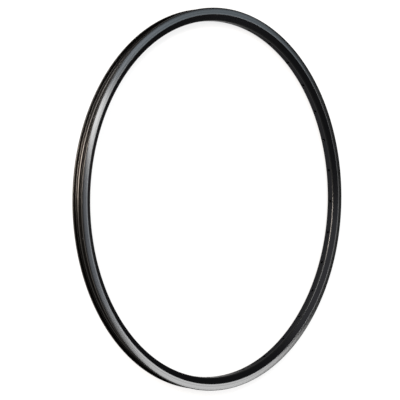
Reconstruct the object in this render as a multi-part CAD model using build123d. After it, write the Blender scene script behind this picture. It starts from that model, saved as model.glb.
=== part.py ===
from build123d import *
import math
import os

# A double-wall bicycle rim for a hooked clincher tyre, with flat side tracks for rim brakes.
# It lies flat: the wheel's axis is Z, and the origin is the wheel's centre in the middle plane.
# Sizes are in millimetres. The section is drawn as (radius, offset from the middle plane).

# Tyre side
bead_seat_diameter = 622.0
flange_height = 6.0
rim_width = 22.5
width_between_hooks = 17.0
hook_height = 2.0
hook_slope_height = 1.2
hook_chamfer = 0.6
lip_chamfer = 0.6
width_between_seats = 11.8
well_width = 8.7
well_depth = 3.4

# Side tracks and spoke side
track_height = 10.6
rim_depth = 20.8
bed_width = 12.1
bed_corner_radius = 3.0

# Wall thicknesses
side_wall = 1.5
bridge_wall = 1.2
lower_wall = 1.2
bed_wall = 1.9

# Spoke holes and valve hole
spoke_holes = 32
spoke_hole_diameter = 4.5
access_hole_diameter = 8.0
valve_hole_diameter = 6.5
spoke_holes_before_valve = 24

# Places worked out from the sizes
seat_radius = bead_seat_diameter / 2
outer_radius = seat_radius + flange_height
well_radius = seat_radius - well_depth
track_foot_radius = outer_radius - track_height
bed_radius = outer_radius - rim_depth
half_width = rim_width / 2
hook_face = width_between_hooks / 2
wall_face = half_width - side_wall
seat_edge = width_between_seats / 2
well_edge = well_width / 2
bed_edge = bed_width / 2
hole_pitch = 360 / spoke_holes


def symmetric_face(corners):
    """A face of the section from the corners on one side: (radius, offset, corner rounding)."""
    mirrored = [(radius, -offset, rounding) for radius, offset, rounding in reversed(corners)]
    loop = corners + mirrored
    outline = FilletPolyline(
        *[(radius, offset) for radius, offset, _ in loop],
        radius=[rounding for _, _, rounding in loop],
        close=True,
    )
    return make_face(Plane.XZ * outline)


def outer_section():
    """The outside of the extrusion, from the tyre well round the hook and track to the spoke bed."""
    hook_root = outer_radius - hook_height
    return symmetric_face([
        (well_radius, well_edge, 0),
        (seat_radius, seat_edge, 0),
        (seat_radius, wall_face, 0),
        (hook_root - hook_slope_height, wall_face, 0),
        (hook_root, hook_face, 0),
        (outer_radius - hook_chamfer, hook_face, 0),
        (outer_radius, hook_face + hook_chamfer, 0),
        (outer_radius, half_width - lip_chamfer, 0),
        (outer_radius - lip_chamfer, half_width, 0),
        (track_foot_radius, half_width, 0),
        (bed_radius, bed_edge, bed_corner_radius),
    ])


def chamber_section():
    """The hollow between the tyre bridge and the spoke bed, one wall thickness inside the outline."""
    well_slope = (seat_edge - well_edge) / well_depth
    lower_slope = (half_width - bed_edge) / (track_foot_radius - bed_radius)
    bridge_offset = bridge_wall * (math.hypot(1, well_slope) - well_slope)
    lower_offset = lower_wall * math.hypot(1, lower_slope)
    shoulder_radius = seat_radius - bridge_wall
    return symmetric_face([
        (well_radius - bridge_wall, well_edge + bridge_offset, 0),
        (shoulder_radius, seat_edge + bridge_offset, 0),
        (shoulder_radius, wall_face, 0),
        (track_foot_radius + (lower_offset - side_wall) / lower_slope, wall_face, 0),
        (bed_radius + bed_wall, bed_edge + lower_slope * bed_wall - lower_offset, 0),
    ])


def radial_drill(diameter, start_radius, end_radius, angle):
    """A drill that points straight out from the axis, between two radii."""
    drill = Cylinder(diameter / 2, end_radius - start_radius, align=(Align.CENTER, Align.CENTER, Align.MIN))
    return Rot(0, 0, angle) * Pos(start_radius, 0, 0) * Rot(0, 90, 0) * drill


def rim():
    """The rolled extrusion, drilled for spoke nipples, for the tool that reaches them, and for the valve."""
    ring = revolve(outer_section() - chamber_section(), Axis.Z)
    inside = bed_radius - bed_wall
    mid_chamber = (bed_radius + bed_wall + well_radius - bridge_wall) / 2
    drills = []
    for hole in range(spoke_holes):
        angle = hole * hole_pitch
        drills.append(radial_drill(spoke_hole_diameter, inside, mid_chamber, angle))
        drills.append(radial_drill(access_hole_diameter, mid_chamber, outer_radius, angle))
    valve_angle = (spoke_holes_before_valve - 0.5) * hole_pitch
    drills.append(radial_drill(valve_hole_diameter, inside, outer_radius, valve_angle))
    return ring - drills


os.makedirs("parts", exist_ok=True)
export_step(rim(), "parts/rim.step")
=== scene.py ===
import bmesh
import bpy
import math
from mathutils import Matrix, Vector


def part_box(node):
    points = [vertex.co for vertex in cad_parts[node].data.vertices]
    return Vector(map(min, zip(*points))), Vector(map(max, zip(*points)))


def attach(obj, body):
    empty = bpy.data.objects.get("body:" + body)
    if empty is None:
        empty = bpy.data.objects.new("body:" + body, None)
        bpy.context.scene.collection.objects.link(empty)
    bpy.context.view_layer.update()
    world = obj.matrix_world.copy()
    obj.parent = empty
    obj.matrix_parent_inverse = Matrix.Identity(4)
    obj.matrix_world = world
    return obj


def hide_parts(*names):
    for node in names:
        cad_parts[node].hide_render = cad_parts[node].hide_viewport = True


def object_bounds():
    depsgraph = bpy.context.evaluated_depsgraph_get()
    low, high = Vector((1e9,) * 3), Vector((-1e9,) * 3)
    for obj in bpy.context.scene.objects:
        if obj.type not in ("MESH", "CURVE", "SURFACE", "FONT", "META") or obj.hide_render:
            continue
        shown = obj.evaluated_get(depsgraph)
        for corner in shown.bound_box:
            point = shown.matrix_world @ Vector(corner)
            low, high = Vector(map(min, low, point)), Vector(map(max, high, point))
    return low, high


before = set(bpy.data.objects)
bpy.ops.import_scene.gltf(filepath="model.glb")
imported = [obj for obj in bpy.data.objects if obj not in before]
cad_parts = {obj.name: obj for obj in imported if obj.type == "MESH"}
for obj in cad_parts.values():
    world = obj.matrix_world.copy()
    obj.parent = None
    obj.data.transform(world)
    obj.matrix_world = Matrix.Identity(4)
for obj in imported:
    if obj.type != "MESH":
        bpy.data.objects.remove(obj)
cad_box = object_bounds()

# Sizes in metres, the same as the solid's. The section is (radius, offset from the middle plane).
MM = 0.001
rim_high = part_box("rim")[1]
half_width = rim_high.z
outer_radius = rim_high.x
seat_radius = outer_radius - 6.0 * MM
well_radius = seat_radius - 3.4 * MM
track_foot_radius = outer_radius - 10.6 * MM
bed_radius = outer_radius - 20.8 * MM
hook_root = outer_radius - 2.0 * MM
hook_slope_height = 1.2 * MM
hook_face = 8.5 * MM
wall_face = half_width - 1.5 * MM
seat_edge = 5.9 * MM
well_edge = 4.35 * MM
bed_edge = 6.05 * MM

# Roundings of the section's corners
well_rounding = 0.2 * MM
seat_edge_rounding = 2.4 * MM
seat_corner_rounding = 0.8 * MM
hook_slope_rounding = 0.5 * MM
hook_root_rounding = 0.4 * MM
hook_top_rounding = 0.6 * MM
lip_rounding = 0.7 * MM
track_foot_rounding = 1.5 * MM
bed_corner_rounding = 3.0 * MM

# Hollow chamber
bridge_wall = 1.2 * MM
lower_wall = 1.2 * MM
bed_wall = 1.9 * MM

# Holes
spoke_holes = 32
spoke_hole_radius = 2.25 * MM
access_hole_radius = 4.0 * MM
valve_hole_radius = 3.25 * MM
valve_place = 23.5
hole_edge_break = 0.25 * MM

# The turned track is a shallow arch across its width, with a darker line round it
track_slope = math.radians(2.4)
track_arc_reach = 4.2 * MM
track_line_radius = outer_radius - 7.3 * MM
track_line_half_width = 0.2 * MM
track_line_fade = 1.0 * MM

# Steps round the ring, a whole number for each spoke hole
RING_STEPS = 12 * spoke_holes
DRILL_STEPS = 24
MERGE_DISTANCE = 1e-7
SHARP_ANGLE = math.radians(35)


def linear(hex_colour):
    """An sRGB hex colour as linear RGBA."""
    channels = [int(hex_colour[i:i + 2], 16) / 255 for i in (1, 3, 5)]
    return [c / 12.92 if c <= 0.04045 else ((c + 0.055) / 1.055) ** 2.4 for c in channels] + [1.0]


def tangent_length(before, corner, after, radius):
    """How far from a corner an arc of this radius meets the two straight runs."""
    turn = (corner - before).angle(after - corner)
    return radius * math.tan(turn / 2)


def section_ring(bm, half_section):
    """Turns a section about the axle line. One side's corners are (radius, offset, rounding, arc steps)."""
    mirrored = [(r, -z, rounding, steps) for r, z, rounding, steps in reversed(half_section)]
    corners = half_section + mirrored
    points = [Vector((r, 0, z)) for r, z, _, _ in corners]
    verts = [bm.verts.new(point) for point in points]
    bm.faces.new(verts)
    for i, (_, _, rounding, steps) in enumerate(corners):
        if rounding:
            offset = tangent_length(points[i - 1], points[i], points[(i + 1) % len(points)], rounding)
            bmesh.ops.bevel(bm, geom=[verts[i]], offset=offset, offset_type="OFFSET", segments=steps,
                            profile=0.5, affect="VERTICES", material=-1)
    section = next(face for face in bm.faces if all(abs(v.co.y) < MERGE_DISTANCE for v in face.verts))
    outline = list(section.edges)
    bmesh.ops.delete(bm, geom=[section], context="FACES_ONLY")
    bmesh.ops.spin(bm, geom=outline, cent=(0, 0, 0), axis=(0, 0, 1), angle=math.tau,
                   steps=RING_STEPS, use_merge=True)


def outer_half_section():
    """The outside of the rim, from the tyre well round the hook and brake track to the spoke bed."""
    track_middle = (outer_radius + track_foot_radius) / 2
    arch_radius = track_arc_reach / math.tan(track_slope)
    arch_peak = half_width + arch_radius * (1 / math.cos(track_slope) - 1)
    track_edge = arch_peak - (outer_radius - track_middle) * math.tan(track_slope)
    return [
        (well_radius, well_edge, well_rounding, 2),
        (seat_radius, seat_edge, seat_edge_rounding, 8),
        (seat_radius, wall_face, seat_corner_rounding, 4),
        (hook_root - hook_slope_height, wall_face, hook_slope_rounding, 3),
        (hook_root, hook_face, hook_root_rounding, 3),
        (outer_radius, hook_face, hook_top_rounding, 4),
        (outer_radius, track_edge, lip_rounding, 5),
        (track_middle, arch_peak, arch_radius, 8),
        (track_foot_radius, track_edge, track_foot_rounding, 5),
        (bed_radius, bed_edge, bed_corner_rounding, 10),
    ]


def chamber_half_section():
    """The hollow between the tyre bridge and the spoke bed, one wall thickness inside the outline."""
    well_slope = (seat_edge - well_edge) / (seat_radius - well_radius)
    lower_slope = (half_width - bed_edge) / (track_foot_radius - bed_radius)
    bridge_offset = bridge_wall * (math.hypot(1, well_slope) - well_slope)
    lower_offset = lower_wall * math.hypot(1, lower_slope)
    side_wall = half_width - wall_face
    return [
        (well_radius - bridge_wall, well_edge + bridge_offset, 0, 0),
        (seat_radius - bridge_wall, seat_edge + bridge_offset, 0, 0),
        (seat_radius - bridge_wall, wall_face, 0, 0),
        (track_foot_radius + (lower_offset - side_wall) / lower_slope, wall_face, 0, 0),
        (bed_radius + bed_wall, bed_edge + lower_slope * bed_wall - lower_offset, 0, 0),
    ]


def mesh_object(name, bm):
    mesh = bpy.data.meshes.new(name)
    bm.to_mesh(mesh)
    bm.free()
    piece = bpy.data.objects.new(name, mesh)
    bpy.context.scene.collection.objects.link(piece)
    return piece


def undrilled_ring():
    """The rolled section: an outer skin, and the chamber's skin facing the other way."""
    bm = bmesh.new()
    section_ring(bm, outer_half_section())
    bmesh.ops.remove_doubles(bm, verts=bm.verts, dist=MERGE_DISTANCE)
    bmesh.ops.recalc_face_normals(bm, faces=bm.faces)
    skin = set(bm.faces)
    section_ring(bm, chamber_half_section())
    bmesh.ops.remove_doubles(bm, verts=bm.verts, dist=MERGE_DISTANCE)
    chamber = [face for face in bm.faces if face not in skin]
    bmesh.ops.recalc_face_normals(bm, faces=chamber)
    bmesh.ops.reverse_faces(bm, faces=chamber)
    return mesh_object("rim_ring", bm)


def one_drill(bm, outline):
    """One drill along +X, turned from its outline: (place along X, radius). A flat of it faces up."""
    half_step = math.pi / DRILL_STEPS
    start = Vector((0, math.sin(half_step), math.cos(half_step)))
    chain = [bm.verts.new(Vector((place, 0, 0)) + radius * start) for place, radius in outline]
    edges = [bm.edges.new(pair) for pair in zip(chain, chain[1:])]
    bmesh.ops.spin(bm, geom=chain + edges, cent=(0, 0, 0), axis=(1, 0, 0), angle=math.tau,
                   steps=DRILL_STEPS, use_merge=True)
    bmesh.ops.remove_doubles(bm, verts=bm.verts, dist=MERGE_DISTANCE)


def drills():
    """All the drills as one mesh: spoke holes, access holes behind them, and the valve hole."""
    mid_chamber = (bed_radius + bed_wall + well_radius - bridge_wall) / 2
    reach = 1.0 * MM
    gap = 0.5 * MM
    # The access drill widens only this far past the well's bottom, so it stays clear of the well's sides
    clear = 0.05 * MM
    spoke = [
        (bed_radius - reach, 0),
        (bed_radius - reach, spoke_hole_radius + hole_edge_break + reach),
        (bed_radius + hole_edge_break, spoke_hole_radius),
        (mid_chamber - gap, spoke_hole_radius),
        (mid_chamber - gap, 0),
    ]
    access = [
        (mid_chamber + gap, 0),
        (mid_chamber + gap, access_hole_radius),
        (well_radius - hole_edge_break, access_hole_radius),
        (well_radius + clear, access_hole_radius + hole_edge_break + clear),
        (well_radius + reach, access_hole_radius + hole_edge_break + clear),
        (well_radius + reach, 0),
    ]
    valve = [
        (bed_radius - reach, 0),
        (bed_radius - reach, valve_hole_radius + hole_edge_break + reach),
        (bed_radius + hole_edge_break, valve_hole_radius),
        (well_radius - hole_edge_break, valve_hole_radius),
        (well_radius + reach, valve_hole_radius + hole_edge_break + reach),
        (well_radius + reach, 0),
    ]
    pitch = math.tau / spoke_holes
    bm = bmesh.new()
    for outline in (spoke, access):
        one_drill(bm, outline)
    bmesh.ops.spin(bm, geom=bm.verts[:] + bm.edges[:] + bm.faces[:], cent=(0, 0, 0), axis=(0, 0, 1),
                   angle=math.tau - pitch, steps=spoke_holes - 1, use_duplicate=True)
    valve_drill = bmesh.new()
    one_drill(valve_drill, valve)
    bmesh.ops.rotate(valve_drill, cent=(0, 0, 0), matrix=Matrix.Rotation(valve_place * pitch, 3, "Z"),
                     verts=valve_drill.verts)
    valve_mesh = bpy.data.meshes.new("valve_drill")
    valve_drill.to_mesh(valve_mesh)
    valve_drill.free()
    bm.from_mesh(valve_mesh)
    bpy.data.meshes.remove(valve_mesh)
    bmesh.ops.recalc_face_normals(bm, faces=bm.faces)
    return mesh_object("rim_drills", bm)


def applied(piece):
    """Puts a piece's modifiers into its mesh."""
    shaped = piece.evaluated_get(bpy.context.evaluated_depsgraph_get())
    mesh = bpy.data.meshes.new_from_object(shaped)
    piece.modifiers.clear()
    piece.data = mesh


def drilled_rim():
    piece = undrilled_ring()
    cutter = drills()
    cut = piece.modifiers.new("holes", "BOOLEAN")
    cut.object = cutter
    cut.operation = "DIFFERENCE"
    cut.solver = "MANIFOLD"
    applied(piece)
    bpy.data.objects.remove(cutter)
    piece.name = "anodised_rim"
    piece.data.name = "anodised_rim"
    piece.data.shade_smooth()
    piece.data.set_sharp_from_angle(angle=SHARP_ANGLE)
    weight = piece.modifiers.new("flat_faces_stay_flat", "WEIGHTED_NORMAL")
    weight.keep_sharp = True
    applied(piece)
    return piece


# Materials


def add(tree, kind, links=None, **settings):
    """Adds a node, with its settings and what its inputs are linked to or set at."""
    node = tree.nodes.new(kind)
    for name, value in settings.items():
        setattr(node, name, value)
    for name, value in (links or {}).items():
        if isinstance(value, bpy.types.NodeSocket):
            tree.links.new(value, node.inputs[name])
        else:
            node.inputs[name].default_value = value
    return node


def new_material(name):
    material = bpy.data.materials.new(name)
    material.use_nodes = True
    material.node_tree.nodes.clear()
    return material, material.node_tree


def axle_distance(tree):
    """A shading value: how far a point is from the axle line, in metres."""
    place = add(tree, "ShaderNodeTexCoord")
    flat = add(tree, "ShaderNodeVectorMath", {
        0: place.outputs["Object"],
        1: (1, 1, 0),
    }, operation="MULTIPLY")
    return add(tree, "ShaderNodeVectorMath", {0: flat.outputs[0]}, operation="LENGTH").outputs["Value"]


def anodised_film():
    """Black anodised aluminium, bead-blasted before dyeing: a deep black with a soft satin sheen."""
    material, tree = new_material("black_anodised_aluminium_satin")
    place = add(tree, "ShaderNodeTexCoord")
    # The blast's dents are about 0.1 mm wide. They are drawn coarser, so that they can show.
    dent_width = 0.6 * MM
    blasted = add(tree, "ShaderNodeTexNoise", {"Vector": place.outputs["Object"], "Scale": 1 / dent_width})
    sheen = add(tree, "ShaderNodeMapRange", {
        "Value": blasted.outputs[0],
        "To Min": 0.18,
        "To Max": 0.26,
    })
    shader = add(tree, "ShaderNodeBsdfPrincipled", {
        "Base Color": linear("#222224"),
        "Metallic": 1.0,
        "Roughness": sheen.outputs[0],
        "Specular Tint": linear("#bcbcbc"),
    })
    add(tree, "ShaderNodeOutputMaterial", {"Surface": shader.outputs[0]})
    return material


def channel_painted_reflection():
    """Black anodised aluminium in the tyre channel, a little duller. Its lighter, warm colour is painted
    reflection of light in the channel.
    """
    material, tree = new_material("black_anodised_aluminium_channel_painted_reflection")
    # The lighter, warm base colour is painted reflection, not a colour of the metal
    shader = add(tree, "ShaderNodeBsdfPrincipled", {
        "Base Color": linear("#43413f"),
        "Metallic": 1.0,
        "Roughness": 0.27,
        "Specular Tint": linear("#a0a0a0"),
    })
    add(tree, "ShaderNodeOutputMaterial", {"Surface": shader.outputs[0]})
    return material


def corner_painted_highlight():
    """Black anodised aluminium on the bed's corners, lighter than the film: a painted highlight along the
    corners.
    """
    material, tree = new_material("black_anodised_aluminium_corner_painted_highlight")
    # The lighter base colour is a painted highlight line along the bed's corners
    shader = add(tree, "ShaderNodeBsdfPrincipled", {
        "Base Color": linear("#323232"),
        "Metallic": 1.0,
        "Roughness": 0.24,
        "Specular Tint": linear("#bcbcbc"),
    })
    add(tree, "ShaderNodeOutputMaterial", {"Surface": shader.outputs[0]})
    return material


def turned_track():
    """Black anodised aluminium over a turned brake track: smooth, with fine cuts and one darker line."""
    material, tree = new_material("black_anodised_aluminium_turned")
    radius = axle_distance(tree)
    # The tool's cuts are about 0.1 mm apart. They are drawn coarser, so that they can show.
    cut_width = 0.3 * MM
    cuts = add(tree, "ShaderNodeTexNoise", {"W": radius, "Scale": 1 / cut_width}, noise_dimensions="1D")
    sheen = add(tree, "ShaderNodeMapRange", {
        "Value": cuts.outputs[0],
        "To Min": 0.10,
        "To Max": 0.15,
    })
    from_line = add(tree, "ShaderNodeMath", {0: radius, 1: track_line_radius}, operation="SUBTRACT")
    beside_line = add(tree, "ShaderNodeMath", {0: from_line.outputs[0]}, operation="ABSOLUTE")
    on_line = add(tree, "ShaderNodeMapRange", {
        "Value": beside_line.outputs[0],
        "From Min": track_line_half_width,
        "From Max": track_line_fade,
        "To Min": 1.0,
        "To Max": 0.0,
    }, interpolation_type="SMOOTHSTEP")
    dye = add(tree, "ShaderNodeMix", {
        "Factor": on_line.outputs[0],
        "A": linear("#3c3c3c"),
        "B": linear("#333333"),
    }, data_type="RGBA")
    shader = add(tree, "ShaderNodeBsdfPrincipled", {
        "Base Color": dye.outputs["Result"],
        "Metallic": 1.0,
        "Roughness": sheen.outputs[0],
        "Specular Tint": linear("#c0c0c0"),
    })
    add(tree, "ShaderNodeOutputMaterial", {"Surface": shader.outputs[0]})
    return material


def pale_floor():
    """A white studio floor. Camera and mirror rays see it lifted to white, and it keeps the shadow."""
    lift_to_white = 0.76
    material, tree = new_material("white_studio_floor")
    path = add(tree, "ShaderNodeLightPath")
    seen = add(tree, "ShaderNodeMath", {
        0: path.outputs["Is Camera Ray"],
        1: path.outputs["Is Glossy Ray"],
    }, operation="MAXIMUM")
    shown = add(tree, "ShaderNodeMath", {
        0: seen.outputs[0],
        1: path.outputs["Is Transmission Ray"],
    }, operation="MAXIMUM")
    lift = add(tree, "ShaderNodeMath", {0: shown.outputs[0], 1: lift_to_white}, operation="MULTIPLY")
    shader = add(tree, "ShaderNodeBsdfPrincipled", {
        "Base Color": linear("#858585"),
        "Roughness": 0.9,
        "Specular IOR Level": 0.0,
        "Emission Color": linear("#ffffff"),
        "Emission Strength": lift.outputs[0],
    })
    add(tree, "ShaderNodeOutputMaterial", {"Surface": shader.outputs[0]})
    return material


# Finishes, in the order of the material slots
SATIN, TURNED, CHANNEL_PAINTED_REFLECTION, CORNER_PAINTED_HIGHLIGHT = range(4)

# Where they meet on the section. A tilt is 1 on a face that lies flat and 0 on an upright one.
track_band = 0.35 * MM
track_tilt = 0.95
flange_side_band = 0.2 * MM
flange_side_tilt = 0.7
well_margin = 0.1 * MM
bed_corner_reach = 1.8 * MM
bed_corner_start = 4.0 * MM
bed_corner_tilt = 0.88


def finish_of(face):
    """A face's finish, from where it lies on the section and how it is tilted."""
    height = abs(face.center.z)
    radius = face.center.xy.length
    tilt = abs(face.normal.z)
    on_track = height > half_width - track_band and tilt > track_tilt
    on_flange_side = height > wall_face + flange_side_band and tilt > flange_side_tilt
    on_tyre_side = radius > well_radius - well_margin
    near_bed_corner = radius < bed_radius + bed_corner_reach and height > bed_corner_start
    if on_track:
        return TURNED
    # The tyre channel, apart from the flange's flat sides, gets the lighter, warm colour of painted
    # reflection
    if on_tyre_side and not on_flange_side:
        return CHANNEL_PAINTED_REFLECTION
    # The bed's sloping corner faces get a lighter colour: a painted highlight
    if near_bed_corner and tilt < bed_corner_tilt:
        return CORNER_PAINTED_HIGHLIGHT
    return SATIN


# Stage


def add_floor():
    half_length = 40.0
    bm = bmesh.new()
    bmesh.ops.create_grid(bm, x_segments=1, y_segments=1, size=half_length)
    bmesh.ops.translate(bm, verts=bm.verts, vec=(0, 0, cad_box[0][2]))
    floor = mesh_object("floor", bm)
    floor.data.materials.append(pale_floor())


def direction(azimuth, elevation):
    az, el = math.radians(azimuth), math.radians(elevation)
    return Vector((math.cos(el) * math.cos(az), math.cos(el) * math.sin(az), math.sin(el)))


def softbox(name, azimuth, elevation, distance, width, height, brightness, colour, lean=0):
    """A soft lamp that looks at the wheel's centre. Brightness 1 is as bright as white paper."""
    light = bpy.data.lights.new(name, "AREA")
    light.shape = "RECTANGLE"
    light.size = width
    light.size_y = height
    # An area lamp's brightness is its energy over four times its area
    light.energy = brightness * 4 * width * height
    light.color = linear(colour)[:3]
    lamp = bpy.data.objects.new(name, light)
    toward = direction(azimuth, elevation)
    aim = toward.to_track_quat("Z", "Y").to_matrix() @ Matrix.Rotation(math.radians(lean), 3, "Z")
    lamp.matrix_world = Matrix.Translation(toward * distance) @ aim.to_4x4()
    bpy.context.scene.collection.objects.link(lamp)


def add_lights():
    # Across the rim from the camera, mirrored in the brake track: degrees, metres, then brightness
    softbox("lamp_hot", 9.0, 52.0, 6.0, 0.44, 1.15, 14, "#ffffff", lean=-30)
    softbox("lamp_right", -16.4, 42.5, 6.0, 0.90, 1.02, 9.0, "#ffffff")
    softbox("lamp_right_above", -16, 48.8, 6.0, 0.76, 0.37, 2.6, "#ffffff")
    softbox("lamp_right_below", -16, 35.6, 6.0, 0.86, 0.5, 3.2, "#ffffff")
    softbox("lamp_between", -4.5, 52, 6.0, 1.0, 0.52, 1.4, "#e6f0ff")
    softbox("lamp_between_below", -4.5, 47.5, 6.0, 1.05, 0.42, 3.0, "#e6f0ff")
    softbox("lamp_middle", 0, 43.5, 6.0, 1.3, 0.7, 3, "#ffffff")
    softbox("lamp_middle_below", -3.0, 39.8, 6.0, 0.6, 0.3, 2.4, "#ffffff")
    softbox("lamp_left", 14.0, 42.1, 6.0, 0.86, 0.83, 2.2, "#e0f2ff")
    softbox("lamp_left_above", 15.5, 48.5, 6.0, 0.56, 0.52, 3.3, "#e4f2ff")
    # On the camera's side and overhead, for the tyre channel, the bed's corners and the walls
    softbox("lamp_camera_side", 164, 30, 5.0, 2.5, 1.1, 38, "#fff3e8")
    softbox("lamp_camera_left", 119, 49, 5.0, 2.8, 1.4, 9, "#ffffff")
    softbox("lamp_overhead", 60, 72, 6.0, 3.4, 3.4, 1.2, "#ffffff")
    world = bpy.data.worlds.new("grey_studio")
    world.use_nodes = True
    background = world.node_tree.nodes["Background"]
    background.inputs["Color"].default_value = linear("#ffffff")
    background.inputs["Strength"].default_value = 0.30
    bpy.context.scene.world = world


# Camera: the photograph's view, as a distance and turns about the wheel's centre
camera_distance = 1.810
camera_tilt = 47.545
camera_turn = 1.237
camera_pitch = 0.055
camera_roll = 0.988
camera_lens = 97.24
sensor_width = 36.0
farthest_seen = 200.0


def add_camera():
    tilt = math.radians(camera_tilt)
    away = Vector((-math.sin(tilt), 0, math.cos(tilt)))
    across = Vector((math.cos(tilt), 0, math.sin(tilt)))
    along = Vector((0, 1, 0))
    back = (away + math.radians(camera_turn) * across + math.radians(camera_pitch) * along).normalized()
    right = along.cross(back).normalized()
    up = back.cross(right)
    turn = Matrix((right, up, back)).transposed() @ Matrix.Rotation(math.radians(camera_roll), 3, "Z")
    camera = bpy.data.objects.new("camera", bpy.data.cameras.new("camera"))
    camera.matrix_world = Matrix.Translation(away * camera_distance) @ turn.to_4x4()
    camera.data.lens = camera_lens
    camera.data.sensor_width = sensor_width
    camera.data.clip_end = farthest_seen
    bpy.context.scene.collection.objects.link(camera)
    bpy.context.scene.camera = camera


rim = drilled_rim()
rim.data.materials.clear()
for finish in (anodised_film, turned_track, channel_painted_reflection, corner_painted_highlight):
    rim.data.materials.append(finish())
for face in rim.data.polygons:
    face.material_index = finish_of(face)
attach(rim, "root")
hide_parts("rim")

add_floor()
add_lights()
add_camera()
bpy.context.scene.view_settings.view_transform = "Standard"

bpy.context.view_layer.update()
